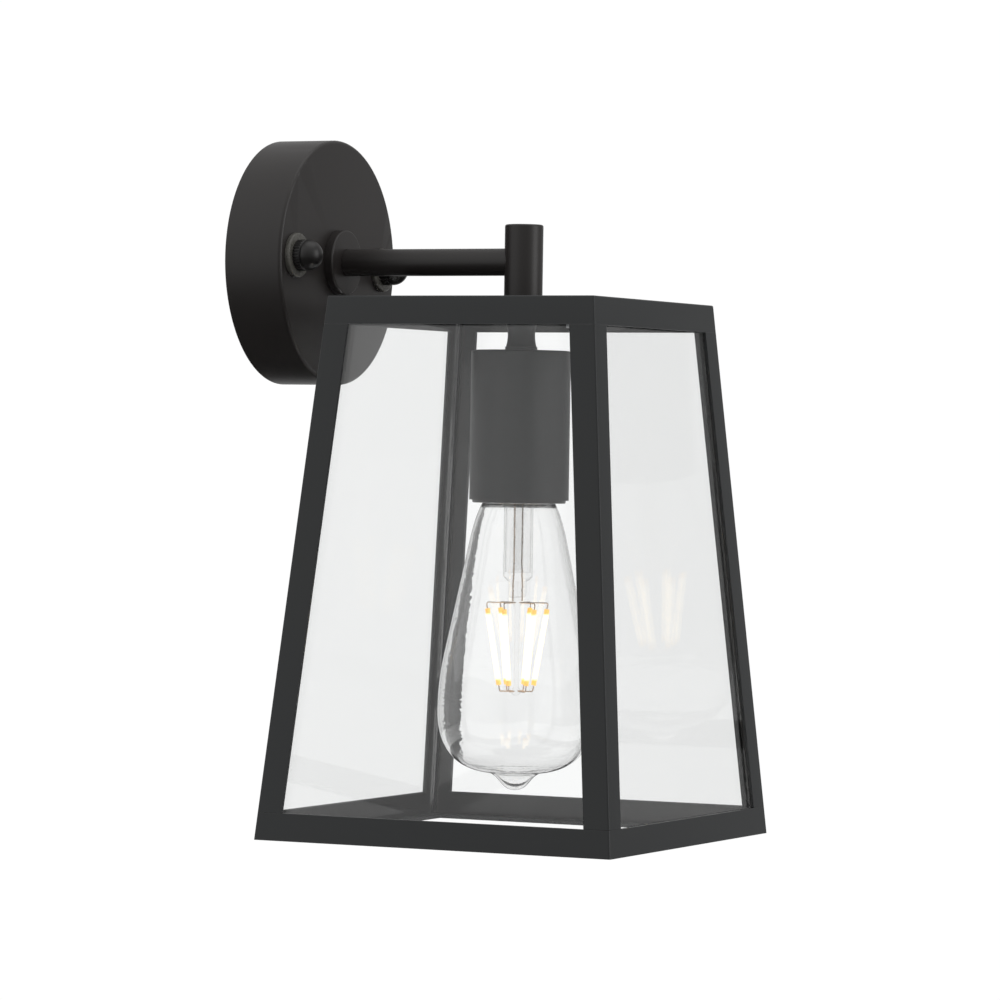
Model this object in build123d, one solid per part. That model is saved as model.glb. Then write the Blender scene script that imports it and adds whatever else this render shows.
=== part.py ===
from build123d import *
import math
import os

os.makedirs("parts", exist_ok=True)

# Outdoor wall lantern, in millimetres.
# The origin is the centre of the round canopy on the wall plane Y = 0.
# The lantern stands out from the wall towards -Y, X is to the right, Z is up.

# ---------------------------------------------------------------- main sizes

LANTERN_Y = -109.3          # vertical axis of post, lampholder, bulb and lantern
SHEET = 1.2                 # sheet steel of the lantern frame
FLANGE = 11.0               # width of every angle flange

TOP_HALF = 58.2             # half the side of the top pan at its upper face
TOP_Z = -15.5               # upper face of the top pan
BAND_LOW_Z = -26.7          # lower edge of the turned-down band
BASE_HALF = 77.4            # half the side of the bottom frame at its lower face
RAIL_TOP_Z = -220.0         # upper edge of the bottom frame
BASE_Z = -230.9             # lower face of the bottom frame
PLATE_LOW_Z = TOP_Z - SHEET

CANOPY_RADIUS = 50.0
CANOPY_DEPTH = 25.3
CANOPY_SHEET = 1.0
FACE_Y = -CANOPY_DEPTH      # front face of the canopy

M4_RADIUS = 2.0
M8_RADIUS = 4.0
M8_BORE = 2.75              # wire way through the hollow M8 nipples
M8_HOLE = 4.1
THREAD_GAP = 0.05           # a nut's bore stands this far off the thread inside it
M4_NUT_FLATS = 7.0
M4_NUT_HEIGHT = 3.2
M8_NUT_FLATS = 13.0
M8_NUT_HEIGHT = 3.8
PAST = 1.0                  # a cut runs this far past the face it opens


# ------------------------------------------------------------------- helpers

def block(x_low, x_high, y_low, y_high, z_low, z_high):
    """Box given by its low and high sides."""
    centre = Pos((x_low + x_high) / 2, (y_low + y_high) / 2, (z_low + z_high) / 2)
    return centre * Box(x_high - x_low, y_high - y_low, z_high - z_low)


def rod_y(radius, y_wall, y_front, x=0.0, z=0.0):
    """Round bar square to the wall, from y_wall out to y_front."""
    middle = Pos(x, (y_wall + y_front) / 2, z)
    return middle * Rot(90, 0, 0) * Cylinder(radius, y_wall - y_front)


def rod_z(radius, z_low, z_high, x=0.0, y=LANTERN_Y):
    """Upright round bar."""
    return Pos(x, y, (z_low + z_high) / 2) * Cylinder(radius, z_high - z_low)


def hex_y(across_flats, y_wall, y_front, x=0.0, z=0.0):
    """Hexagon bar square to the wall."""
    outline = RegularPolygon(across_flats / 2, 6, major_radius=False)
    bar = extrude(outline, y_wall - y_front)
    return Pos(x, y_wall, z) * Rot(90, 0, 0) * bar


def hex_z(across_flats, z_low, z_high):
    """Upright hexagon bar on the lantern axis."""
    outline = RegularPolygon(across_flats / 2, 6, major_radius=False)
    return Pos(0, LANTERN_Y, z_low) * extrude(outline, z_high - z_low)


def turned_z(outline):
    """Solid of revolution on the lantern axis; the outline holds (radius, z)."""
    section = Plane.XZ * make_face(outline)
    return Pos(0, LANTERN_Y, 0) * revolve(section, Axis.Z)


def on_side(shape, quarter):
    """Carry a shape built round its own axis to one of the lantern's four sides."""
    return Pos(0, LANTERN_Y, 0) * Rot(0, 0, 90 * quarter) * shape


def wire(points, radii, wire_radius):
    """Round wire along straight runs joined by tangent arcs."""
    route = FilletPolyline(*points, radius=radii)
    section = Plane(origin=route @ 0, z_dir=route % 0) * Circle(wire_radius)
    return sweep(section, path=route)


def save(node, *solids):
    """Write one node; several solids stay separate inside it."""
    shape = solids[0] if len(solids) == 1 else Compound(children=list(solids))
    export_step(shape, "parts/" + node + ".step")


SIDES = ("front", "right", "back", "left")

# ------------------------------------------------------- wall bracket, studs

STRAP_HALF_LENGTH = 46.0
STRAP_HALF_WIDTH = 10.0
STRAP_SHEET = 2.0
STRAP_STEP = 4.0            # the ends stand this far off the wall for the stud heads
STRAP_STEP_X = 32.0
TAB_HALF_WIDTH = 12.0
TAB_TOP_Z = 30.0
TAB_LOW_Z = -24.0
CABLE_HOLE_RADIUS = 8.0
SLOT_X = 20.0               # wall screw slots, 5 mm wide and 12 mm long
SLOT_WIDTH = 5.0
SLOT_LENGTH = 12.0
STUD_X = 37.6
STUD_RISE = 1.5             # the left stud sits this far above the arm, the right one below it
STUDS = {"left": (-STUD_X, STUD_RISE), "right": (STUD_X, -STUD_RISE)}
STUD_HOLE_GAP = 0.1
HOLE_PAST = 0.5             # the bracket's holes are cut this far past its faces
EARTH_Z = -18.0

middle_plate = block(-STRAP_STEP_X, STRAP_STEP_X, -STRAP_SHEET, 0, -STRAP_HALF_WIDTH, STRAP_HALF_WIDTH)
tab_plate = block(-TAB_HALF_WIDTH, TAB_HALF_WIDTH, -STRAP_SHEET, 0, TAB_LOW_Z, TAB_TOP_Z)
bracket = middle_plate + tab_plate
for side in (-1, 1):
    riser_inner = STRAP_STEP_X - STRAP_SHEET
    riser_x = sorted((side * riser_inner, side * STRAP_STEP_X))
    ear_x = sorted((side * riser_inner, side * STRAP_HALF_LENGTH))
    ear_back = -STRAP_STEP
    bracket += block(*riser_x, ear_back - STRAP_SHEET, 0, -STRAP_HALF_WIDTH, STRAP_HALF_WIDTH)
    bracket += block(*ear_x, ear_back - STRAP_SHEET, ear_back, -STRAP_HALF_WIDTH, STRAP_HALF_WIDTH)
    slot = Plane.XZ * Pos(side * SLOT_X, 0) * SlotOverall(SLOT_LENGTH, SLOT_WIDTH)
    bracket -= extrude(slot, STRAP_SHEET, both=True)
for stud_x, stud_z in STUDS.values():
    ear_hole_end = -STRAP_STEP - STRAP_SHEET - HOLE_PAST
    bracket -= rod_y(M4_RADIUS + STUD_HOLE_GAP, HOLE_PAST, ear_hole_end, stud_x, stud_z)
bracket -= rod_y(CABLE_HOLE_RADIUS, HOLE_PAST, -STRAP_SHEET - HOLE_PAST)
bracket -= rod_y(M4_RADIUS + STUD_HOLE_GAP, HOLE_PAST, -STRAP_SHEET - HOLE_PAST, z=EARTH_Z)
save("wall_bracket", bracket)

EAR_FRONT_Y = -STRAP_STEP - STRAP_SHEET
STUD_TIP_Y = FACE_Y - 7.6
STUD_HEAD_RADIUS = 3.8
STUD_HEAD_HEIGHT = 2.4
STUD_TIP_CHAMFER = 0.4
NUT_CUT_Y = -20.0
studs = []
stud_nuts = []
for stud_x, stud_z in STUDS.values():
    stud = rod_y(M4_RADIUS, -STRAP_STEP, STUD_TIP_Y, stud_x, stud_z)
    stud += rod_y(STUD_HEAD_RADIUS, -STRAP_STEP + STUD_HEAD_HEIGHT, -STRAP_STEP, stud_x, stud_z)
    tip_edge = stud.edges().sort_by(Axis.Y)[0]
    studs.append(chamfer(tip_edge, STUD_TIP_CHAMFER))
    nut = hex_y(M4_NUT_FLATS, EAR_FRONT_Y, EAR_FRONT_Y - M4_NUT_HEIGHT, stud_x, stud_z)
    stud_nuts.append(nut - rod_y(M4_RADIUS + THREAD_GAP, 0, NUT_CUT_Y, stud_x, stud_z))
save("mounting_studs", *studs)
save("stud_nuts", *stud_nuts)

EARTH_HEAD_RADIUS = 3.6
EARTH_HEAD_BACK_Y = -3.0
EARTH_HEAD_FRONT_Y = -5.4
EARTH_SHANK_END_Y = -5.0
EARTH_CUT_Y = -6.0          # cuts into the screw and its lug end here, in front of the head
EARTH_SLOT_HALF = 0.5       # half the width of the driver slot
EARTH_SLOT_FLOOR_Y = -4.2
EARTH_SLOT_REACH = 4.0
earth_screw = rod_y(M4_RADIUS - 0.1, 0, EARTH_SHANK_END_Y, z=EARTH_Z)
earth_screw += rod_y(EARTH_HEAD_RADIUS, EARTH_HEAD_BACK_Y, EARTH_HEAD_FRONT_Y, z=EARTH_Z)
earth_slot_y = (EARTH_CUT_Y, EARTH_SLOT_FLOOR_Y)
earth_slot_z = (EARTH_Z - EARTH_SLOT_REACH, EARTH_Z + EARTH_SLOT_REACH)
earth_screw -= block(-EARTH_SLOT_HALF, EARTH_SLOT_HALF, *earth_slot_y, *earth_slot_z)
save("earth_screw", earth_screw)

LUG_Y = -STRAP_SHEET
LUG_SHEET = 1.0
LUG_TONGUE_HALF = 1.4
LUG_TONGUE_START = 2.0      # the tongue starts this far above the screw
LUG_BARREL_RADIUS = 1.6
LUG_BARREL_BORE = 1.1
LUG_BARREL_Z = EARTH_Z + 5.2
LUG_BARREL_LOW_Z = LUG_BARREL_Z - 0.4
LUG_BARREL_TOP_Z = LUG_BARREL_Z + 4
LUG_AXIS_Y = LUG_Y - LUG_BARREL_RADIUS
lug = rod_y(EARTH_HEAD_RADIUS, LUG_Y, LUG_Y - LUG_SHEET, z=EARTH_Z)
tongue_low_z = EARTH_Z + LUG_TONGUE_START
lug += block(-LUG_TONGUE_HALF, LUG_TONGUE_HALF, LUG_Y - LUG_SHEET, LUG_Y, tongue_low_z, LUG_BARREL_Z)
lug_barrel = rod_z(LUG_BARREL_RADIUS, LUG_BARREL_LOW_Z, LUG_BARREL_TOP_Z, y=LUG_AXIS_Y)
lug_bore = rod_z(LUG_BARREL_BORE, LUG_BARREL_Z - PAST, LUG_BARREL_TOP_Z + PAST, y=LUG_AXIS_Y)
lug = lug + lug_barrel - lug_bore
lug -= rod_y(M4_RADIUS, 0, EARTH_CUT_Y, z=EARTH_Z)
save("earth_lug", lug)

# -------------------------------------------------------------------- canopy

CANOPY_EDGE = 1.6
CANOPY_STUD_GAP = 0.5       # the canopy's stud holes are this much wider in radius than the studs
canopy = rod_y(CANOPY_RADIUS, 0, FACE_Y)
canopy = fillet(canopy.edges().sort_by(Axis.Y)[0], CANOPY_EDGE)
canopy_room = rod_y(CANOPY_RADIUS - CANOPY_SHEET, 0, FACE_Y + CANOPY_SHEET)
canopy -= fillet(canopy_room.edges().sort_by(Axis.Y)[0], CANOPY_EDGE - CANOPY_SHEET)
canopy -= rod_y(M8_HOLE, 0, FACE_Y - PAST)
for stud_x, stud_z in STUDS.values():
    canopy -= rod_y(M4_RADIUS + CANOPY_STUD_GAP, 0, FACE_Y - PAST, stud_x, stud_z)
save("canopy", canopy)

# ----------------------------------- knob nuts with their sealing washers

WASHER_RADIUS = 9.0
WASHER_THICK = 2.0
WASHER_EDGE = 0.7
WASHER_BORE = M4_RADIUS + 0.3
COLLAR_RADIUS = 6.25
COLLAR_LENGTH = 3.2
COLLAR_CHAMFER = 0.6
KNOB_GROOVE_RADIUS = 5.4
KNOB_GROOVE = 0.6
KNOB_OVERLAP = 0.1          # the groove's core reaches this far into the collar and the dome
DOME_RADIUS = 6.2
RIBS = 30
RIB_GROOVE_RADIUS = 0.35
THREAD_ROOM = STUD_TIP_Y - 0.6

for name, (stud_x, stud_z) in STUDS.items():
    washer_front = FACE_Y - WASHER_THICK
    washer = rod_y(WASHER_RADIUS, FACE_Y, washer_front, stud_x, stud_z)
    washer = fillet(washer.edges().sort_by(Axis.Y)[0], WASHER_EDGE)
    washer -= rod_y(WASHER_BORE, FACE_Y + PAST, washer_front - PAST, stud_x, stud_z)
    save("sealing_washer_" + name, washer)

    collar_front = washer_front - COLLAR_LENGTH
    collar = rod_y(COLLAR_RADIUS, washer_front, collar_front, stud_x, stud_z)
    collar = chamfer(collar.edges().group_by(Axis.Y)[0], COLLAR_CHAMFER)
    for rib in range(RIBS):
        turn = 2 * math.pi * rib / RIBS
        groove_x = stud_x + COLLAR_RADIUS * math.cos(turn)
        groove_z = stud_z + COLLAR_RADIUS * math.sin(turn)
        collar -= rod_y(RIB_GROOVE_RADIUS, washer_front, collar_front, groove_x, groove_z)
    dome_back = collar_front - KNOB_GROOVE
    dome = Pos(stud_x, dome_back, stud_z) * Sphere(DOME_RADIUS)
    dome -= rod_y(DOME_RADIUS + PAST, dome_back + DOME_RADIUS + PAST, dome_back, stud_x, stud_z)
    core_back = collar_front + KNOB_OVERLAP
    dome += rod_y(KNOB_GROOVE_RADIUS, core_back, dome_back - KNOB_OVERLAP, stud_x, stud_z)
    knob = collar + dome - rod_y(M4_RADIUS + THREAD_GAP, 0, THREAD_ROOM, stud_x, stud_z)
    save("knob_nut_" + name, knob)

# ----------------------------------------------------------------------- arm

ARM_RADIUS = 5.5
ARM_BORE = 4.1
ARM_FLANGE_RADIUS = 13.3
ARM_FLANGE_THICK = 4.0
ARM_FLANGE_EDGE = 0.8
ARM_HOLE = ARM_RADIUS + 0.05
FLANGE_CUT_Y = FACE_Y - 10
ARM_SEAT_Y = FACE_Y - 1.5   # the tube seats in a step inside the flange
ARM_END_Y = LANTERN_Y + 4.6

flange_disc = rod_y(ARM_FLANGE_RADIUS, FACE_Y, FACE_Y - ARM_FLANGE_THICK)
flange_disc = fillet(flange_disc.edges().sort_by(Axis.Y)[0], ARM_FLANGE_EDGE)
flange_disc -= rod_y(M8_HOLE, 0, FLANGE_CUT_Y)
flange_disc -= rod_y(ARM_HOLE, ARM_SEAT_Y, FLANGE_CUT_Y)
save("arm_flange", flange_disc)

arm_tube = rod_y(ARM_RADIUS, ARM_SEAT_Y, ARM_END_Y) - rod_y(ARM_BORE, 0, ARM_END_Y - PAST)
save("arm_tube", arm_tube)

ARM_NIPPLE_BACK_Y = -18.5
ARM_NIPPLE_FRONT_Y = -45.0
NIPPLE_CUT_Y = -60.0
arm_nipple = rod_y(M8_RADIUS, ARM_NIPPLE_BACK_Y, ARM_NIPPLE_FRONT_Y)
arm_nipple -= rod_y(M8_BORE, 0, NIPPLE_CUT_Y)
save("arm_nipple", arm_nipple)

CANOPY_INSIDE_Y = FACE_Y + CANOPY_SHEET
LOCK_WASHER_RADIUS = 8.0
LOCK_WASHER_THICK = 1.0
LOCK_CUT_Y = -40.0
nut_front = CANOPY_INSIDE_Y + LOCK_WASHER_THICK
lock_washer = rod_y(LOCK_WASHER_RADIUS, nut_front, CANOPY_INSIDE_Y) - rod_y(M8_HOLE, 0, LOCK_CUT_Y)
save("arm_lock_washer", lock_washer)
lock_nut = hex_y(M8_NUT_FLATS, nut_front + M8_NUT_HEIGHT, nut_front)
save("arm_lock_nut", lock_nut - rod_y(M8_RADIUS + THREAD_GAP, 0, LOCK_CUT_Y))

# ---------------------------------------------- post, its nipple and the neck

POST_RADIUS = 7.75
POST_TOP_Z = 15.0
POST_BORE_TOP_Z = 9.0
POST_EDGE = 0.8

post = rod_z(POST_RADIUS, TOP_Z, POST_TOP_Z)
post = fillet(post.edges().sort_by(Axis.Z)[-1], POST_EDGE)
post -= rod_z(M8_HOLE, TOP_Z - PAST, POST_BORE_TOP_Z)
post -= rod_y(ARM_HOLE, 0, ARM_END_Y)
post -= rod_y(ARM_BORE, 0, LANTERN_Y)
save("post", post)

NIPPLE_TOP_Z = -7.0
NIPPLE_LOW_Z = -46.6
NIPPLE_CUT_Z = -60.0
post_nipple = rod_z(M8_RADIUS, NIPPLE_LOW_Z, NIPPLE_TOP_Z) - rod_z(M8_BORE, NIPPLE_CUT_Z, 0)
save("post_nipple", post_nipple)

SHROUD_TOP_Z = -35.7
NECK_FOOT = 6.5
NECK_FOOT_TOP_Z = -34.2
NECK_BODY = 6.15            # radius above and below the waist
NECK_WAIST = 5.5
NECK_WAIST_Z = -29.2
NECK_SHOULDER_Z = -25.0
waist_low = (NECK_BODY, NECK_FOOT_TOP_Z)
waist_high = (NECK_BODY, NECK_SHOULDER_Z)
neck_foot = Polyline(
    (M8_HOLE, SHROUD_TOP_Z),
    (NECK_FOOT, SHROUD_TOP_Z),
    (NECK_FOOT, NECK_FOOT_TOP_Z),
    waist_low,
)
neck_waist = ThreePointArc(waist_low, (NECK_WAIST, NECK_WAIST_Z), waist_high)
neck_top = Polyline(
    waist_high,
    (NECK_BODY, PLATE_LOW_Z),
    (M8_HOLE, PLATE_LOW_Z),
    (M8_HOLE, SHROUD_TOP_Z),
)
save("neck_collar", turned_z([*neck_foot.edges(), neck_waist, *neck_top.edges()]))

# ------------------------------------------------------- lantern sheet metal

FOLD = 0.8                  # outside radius of every fold
INNER_FOLD = 0.3
PAN_EDGE = 0.7              # outside radius of the pan's top edge
PAN_CUT_Z = -40.0


def frame_half(z):
    """Half the outside width at height z: the whole frame shares four leaning planes."""
    return TOP_HALF + (BASE_HALF - TOP_HALF) * (TOP_Z - z) / (TOP_Z - BASE_Z)


def tapered_bar(inset, z_low, z_high, fold=FOLD):
    """Square bar between two heights, its sides parallel to the frame's and set in from them."""
    ends = []
    for z in (z_low, z_high):
        side = 2 * (frame_half(z) - inset)
        ends.append(Pos(0, 0, z) * RectangleRounded(side, side, fold))
    return loft(ends, ruled=True)


top_pan = tapered_bar(0, BAND_LOW_Z, TOP_Z)
top_pan = fillet(top_pan.faces().sort_by(Axis.Z)[-1].edges(), PAN_EDGE)
top_pan -= tapered_bar(SHEET, BAND_LOW_Z, PLATE_LOW_Z, INNER_FOLD)
save("top_cap", Pos(0, LANTERN_Y, 0) * top_pan - rod_z(M8_HOLE, PAN_CUT_Z, 0))

# One angle leg runs down each corner, in line with the band above and the rails below.
leg_top_half = frame_half(BAND_LOW_Z)
leg_spread = frame_half(RAIL_TOP_Z) - leg_top_half
leg_run = Vector(leg_spread, -leg_spread, RAIL_TOP_Z - BAND_LOW_Z)
leg_outline = Polyline(
    (0, 0),
    (-FLANGE, 0),
    (-FLANGE, SHEET),
    (-SHEET, SHEET),
    (-SHEET, FLANGE),
    (0, FLANGE),
    close=True,
)
leg_section = make_face(leg_outline)
leg_corner = leg_section.vertices().sort_by_distance((0, 0, 0))[0]
leg_section = Pos(leg_top_half, -leg_top_half, BAND_LOW_Z) * fillet(leg_corner, FOLD)
leg = extrude(leg_section, leg_run.length, dir=leg_run.normalized())
for quarter, name in enumerate(("front_right", "back_right", "back_left", "front_left")):
    save("leg_" + name, on_side(leg, quarter))

# Four bottom rails, each with an inward ledge, mitred where they meet.
ledge_gap = 2 * (BASE_HALF - FLANGE)
ledge_outline = RectangleRounded(ledge_gap, ledge_gap, INNER_FOLD)
ledge_opening = Pos(0, 0, BASE_Z - PAST) * extrude(ledge_outline, SHEET + 2 * PAST)
bottom_frame = tapered_bar(0, BASE_Z, RAIL_TOP_Z)
bottom_frame -= tapered_bar(SHEET, BASE_Z + SHEET, RAIL_TOP_Z, INNER_FOLD)
bottom_frame -= ledge_opening
MITRE_REACH = BASE_HALF + PAST
MITRE_HEIGHT = 20.0
mitre = make_face(Polyline((0, 0), (-MITRE_REACH, -MITRE_REACH), (MITRE_REACH, -MITRE_REACH), close=True))
rail = bottom_frame & (Pos(0, 0, BASE_Z - PAST) * extrude(mitre, MITRE_HEIGHT))
for quarter, name in enumerate(SIDES):
    save("rail_" + name, on_side(rail, quarter))

# --------------------------------------------------- glass, seals and clips

GLASS = 3.0
GLASS_TOP_Z = -18.0
LEDGE_Z = BASE_Z + SHEET
SEAL = 0.5                  # thickness of the sealant between flange and glass
CORNER_GAP = 0.35
SEAL_SET_BACK = 0.3         # seal edge kept back from the flange edge


def glass_outside(z):
    """Distance of the outer glass face from the lantern axis at height z."""
    return frame_half(z) - SHEET - SEAL


def front_slab(section_points):
    """Section of (distance from axis, z) stretched sideways across the front."""
    section = make_face(Polyline(*section_points, close=True))
    return Rot(0, 0, -90) * extrude(Plane.XZ * section, 2 * BASE_HALF, both=True)


def front_outline(top_half, top_z, low_half, low_z):
    """Upright prism with the outline of one front pane, reaching forward from the axis."""
    low_line = ((-low_half, low_z), (low_half, low_z))
    top_line = ((top_half, top_z), (-top_half, top_z))
    outline = Polyline(*low_line, *top_line, close=True)
    return extrude(Plane.XZ * make_face(outline), 2 * BASE_HALF)


glass_top_half = glass_outside(GLASS_TOP_Z) - GLASS - CORNER_GAP
glass_low_half = glass_outside(LEDGE_Z) - GLASS - CORNER_GAP
pane_outline = front_outline(glass_top_half, GLASS_TOP_Z, glass_low_half, LEDGE_Z)
pane = pane_outline & front_slab([
    (glass_outside(GLASS_TOP_Z), GLASS_TOP_Z),
    (glass_outside(GLASS_TOP_Z) - GLASS, GLASS_TOP_Z),
    (glass_outside(LEDGE_Z) - GLASS, LEDGE_Z),
    (glass_outside(LEDGE_Z), LEDGE_Z),
])

seal = pane_outline & front_slab([
    (glass_outside(GLASS_TOP_Z), GLASS_TOP_Z),
    (glass_outside(GLASS_TOP_Z) + SEAL, GLASS_TOP_Z),
    (glass_outside(LEDGE_Z) + SEAL, LEDGE_Z),
    (glass_outside(LEDGE_Z), LEDGE_Z),
])
seal -= front_outline(
    frame_half(BAND_LOW_Z) - FLANGE + SEAL_SET_BACK,
    BAND_LOW_Z + SEAL_SET_BACK,
    frame_half(RAIL_TOP_Z) - FLANGE + SEAL_SET_BACK,
    RAIL_TOP_Z - SEAL_SET_BACK,
)

CLIP_HALF = 5.0
CLIP_SHEET = 0.8
CLIP_GAP = 0.2              # between the clip and the inner glass face at its top edge
CLIP_FOOT = 9.0             # length welded to the underside of the pan
CLIP_LOW_Z = -25.0
CLIP_OUTER = glass_outside(GLASS_TOP_Z) - GLASS - CLIP_GAP
clip_foot_z = (PLATE_LOW_Z - CLIP_SHEET, PLATE_LOW_Z)
clip = block(-CLIP_HALF, CLIP_HALF, -CLIP_OUTER, -CLIP_OUTER + CLIP_FOOT, *clip_foot_z)
clip += block(-CLIP_HALF, CLIP_HALF, -CLIP_OUTER, -CLIP_OUTER + CLIP_SHEET, CLIP_LOW_Z, PLATE_LOW_Z)

for quarter, name in enumerate(SIDES):
    save("glass_" + name, on_side(pane, quarter))
    save("glass_seal_" + name, on_side(seal, quarter))
save("glass_clips", *[on_side(clip, quarter) for quarter in range(4)])

# ---------------------------------------------------------------- lampholder

SHROUD_RADIUS = 20.0
SHROUD_LOW_Z = -95.7
SHROUD_SHEET = 1.0
SHROUD_EDGE = 0.9
HOLDER_CUT_Z = -60.0        # cuts for the M8 nipple end here, below the holder's top parts
HOLDER_NUT_LOW_Z = -40.6
HOLDER_RADIUS = 16.2        # outside of the holder cap and of the ceramic core
HOLDER_INSIDE = 14.2
HOLDER_TOP_RADIUS = 8.0
HOLDER_TOP_INSIDE = 7.0
HOLDER_TOP_LOW_Z = -45.0    # the cap's narrow top ends here and its cone begins
HOLDER_CONE_LOW_Z = -51.0
HOLDER_ROOF_Z = -47.0       # underside of the narrow top
HOLDER_CONE_INSIDE_Z = -52.2
HOLDER_RIM_Z = -60.5        # lower rim of the holder cap, which clamps the ceramic core
CORE_LOW_Z = -66.5
SKIRT_RADIUS = 18.8
SKIRT_BORE = 16.4
SKIRT_TOP_Z = -56.0
SKIRT_LOW_Z = -96.9
SKIRT_EDGE = 0.5
SHELF_BORE = 14.6           # the shelf inside the skirt carries the core
SHELF_THICK = 1.6

shroud = rod_z(SHROUD_RADIUS, SHROUD_LOW_Z, SHROUD_TOP_Z)
shroud = fillet(shroud.edges().sort_by(Axis.Z)[-1], SHROUD_EDGE)
shroud -= rod_z(SHROUD_RADIUS - SHROUD_SHEET, SHROUD_LOW_Z - PAST, SHROUD_TOP_Z - SHROUD_SHEET)
shroud -= rod_z(M8_HOLE, HOLDER_CUT_Z, 0)
save("lampholder_shroud", shroud)

holder_nut = hex_z(M8_NUT_FLATS, HOLDER_NUT_LOW_Z, SHROUD_TOP_Z - SHROUD_SHEET)
save("holder_lock_nut", holder_nut - rod_z(M8_RADIUS + THREAD_GAP, HOLDER_CUT_Z, 0))

holder_cap_outline = Polyline(
    (M8_HOLE, HOLDER_NUT_LOW_Z),
    (HOLDER_TOP_RADIUS, HOLDER_NUT_LOW_Z),
    (HOLDER_TOP_RADIUS, HOLDER_TOP_LOW_Z),
    (HOLDER_RADIUS, HOLDER_CONE_LOW_Z),
    (HOLDER_RADIUS, HOLDER_RIM_Z),
    (HOLDER_INSIDE, HOLDER_RIM_Z),
    (HOLDER_INSIDE, HOLDER_CONE_INSIDE_Z),
    (HOLDER_TOP_INSIDE, HOLDER_ROOF_Z),
    (M8_HOLE, HOLDER_ROOF_Z),
    close=True,
)
save("lampholder_cap", turned_z(holder_cap_outline))

skirt = rod_z(SKIRT_RADIUS, SKIRT_LOW_Z, SKIRT_TOP_Z)
skirt -= rod_z(SKIRT_BORE, SKIRT_LOW_Z - PAST, SKIRT_TOP_Z + PAST)
skirt = fillet(skirt.edges().group_by(Axis.Z)[0].sort_by(SortBy.RADIUS)[-1], SKIRT_EDGE)
shelf_low_z = CORE_LOW_Z - SHELF_THICK
shelf = rod_z(SKIRT_BORE + 0.2, shelf_low_z, CORE_LOW_Z)
shelf -= rod_z(SHELF_BORE, shelf_low_z - PAST, CORE_LOW_Z + PAST)
save("lampholder_skirt", skirt + shelf)

TERMINAL_X = 8.5
TERMINAL_TOP_Z = HOLDER_RIM_Z + 5.0
CONTACT_HOLE = 1.5          # way for the centre contact's stem through the core
TERMINAL_HOLE = 1.3
core_cut = (CORE_LOW_Z - PAST, HOLDER_RIM_Z + PAST)
core = rod_z(HOLDER_RADIUS, CORE_LOW_Z, HOLDER_RIM_Z) - rod_z(CONTACT_HOLE, *core_cut)
for side in (-1, 1):
    core -= rod_z(TERMINAL_HOLE, *core_cut, x=side * TERMINAL_X)
save("lampholder_core", core)

TERMINAL_HALF_WIDTH = 2.6
TERMINAL_HALF_DEPTH = 3.0
TERMINAL_TAIL = 1.2         # radius of the tail that goes down through the core
TERMINAL_WIRE_HOLE = 1.05
TERMINAL_WIRE_DEPTH = 3.4
TERMINAL_SCREW_HOLE = 0.85
TERMINAL_SCREW = 0.8
TERMINAL_SCREW_HEAD = 1.8
TERMINAL_SCREW_Z = TERMINAL_TOP_Z - 2
SCREW_TIP_Y = LANTERN_Y - 1.2
SCREW_SHANK_Y = LANTERN_Y - 3.6
SCREW_HEAD_BACK_Y = LANTERN_Y - 3.2
SCREW_HEAD_FRONT_Y = LANTERN_Y - 4.6
SCREW_SLOT_FLOOR_Y = LANTERN_Y - 4.0
SCREW_SLOT_HALF = 0.3

terminals = []
terminal_screws = []
terminal_back_y = LANTERN_Y + TERMINAL_HALF_DEPTH
terminal_front_y = LANTERN_Y - TERMINAL_HALF_DEPTH
wire_hole_low_z = TERMINAL_TOP_Z - TERMINAL_WIRE_DEPTH
for side in (-1, 1):
    x = side * TERMINAL_X
    sides = (x - TERMINAL_HALF_WIDTH, x + TERMINAL_HALF_WIDTH)
    post_block = block(*sides, terminal_front_y, terminal_back_y, HOLDER_RIM_Z, TERMINAL_TOP_Z)
    post_block += rod_z(TERMINAL_TAIL, CORE_LOW_Z, HOLDER_RIM_Z, x=x)
    post_block -= rod_z(TERMINAL_WIRE_HOLE, wire_hole_low_z, TERMINAL_TOP_Z + PAST, x=x)
    post_block -= rod_y(TERMINAL_SCREW_HOLE, LANTERN_Y, terminal_front_y - PAST, x=x, z=TERMINAL_SCREW_Z)
    terminals.append(post_block)
    screw = rod_y(TERMINAL_SCREW, SCREW_TIP_Y, SCREW_SHANK_Y, x=x, z=TERMINAL_SCREW_Z)
    screw += rod_y(TERMINAL_SCREW_HEAD, SCREW_HEAD_BACK_Y, SCREW_HEAD_FRONT_Y, x=x, z=TERMINAL_SCREW_Z)
    slot_sides = (x - SCREW_SLOT_HALF, x + SCREW_SLOT_HALF)
    slot_span_y = (SCREW_HEAD_FRONT_Y - PAST, SCREW_SLOT_FLOOR_Y)
    screw -= block(*slot_sides, *slot_span_y, CORE_LOW_Z, TERMINAL_TOP_Z + PAST)
    terminal_screws.append(screw)
save("holder_terminals", *terminals)

# --------------------------------------------- E27 screw threads and contacts

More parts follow.
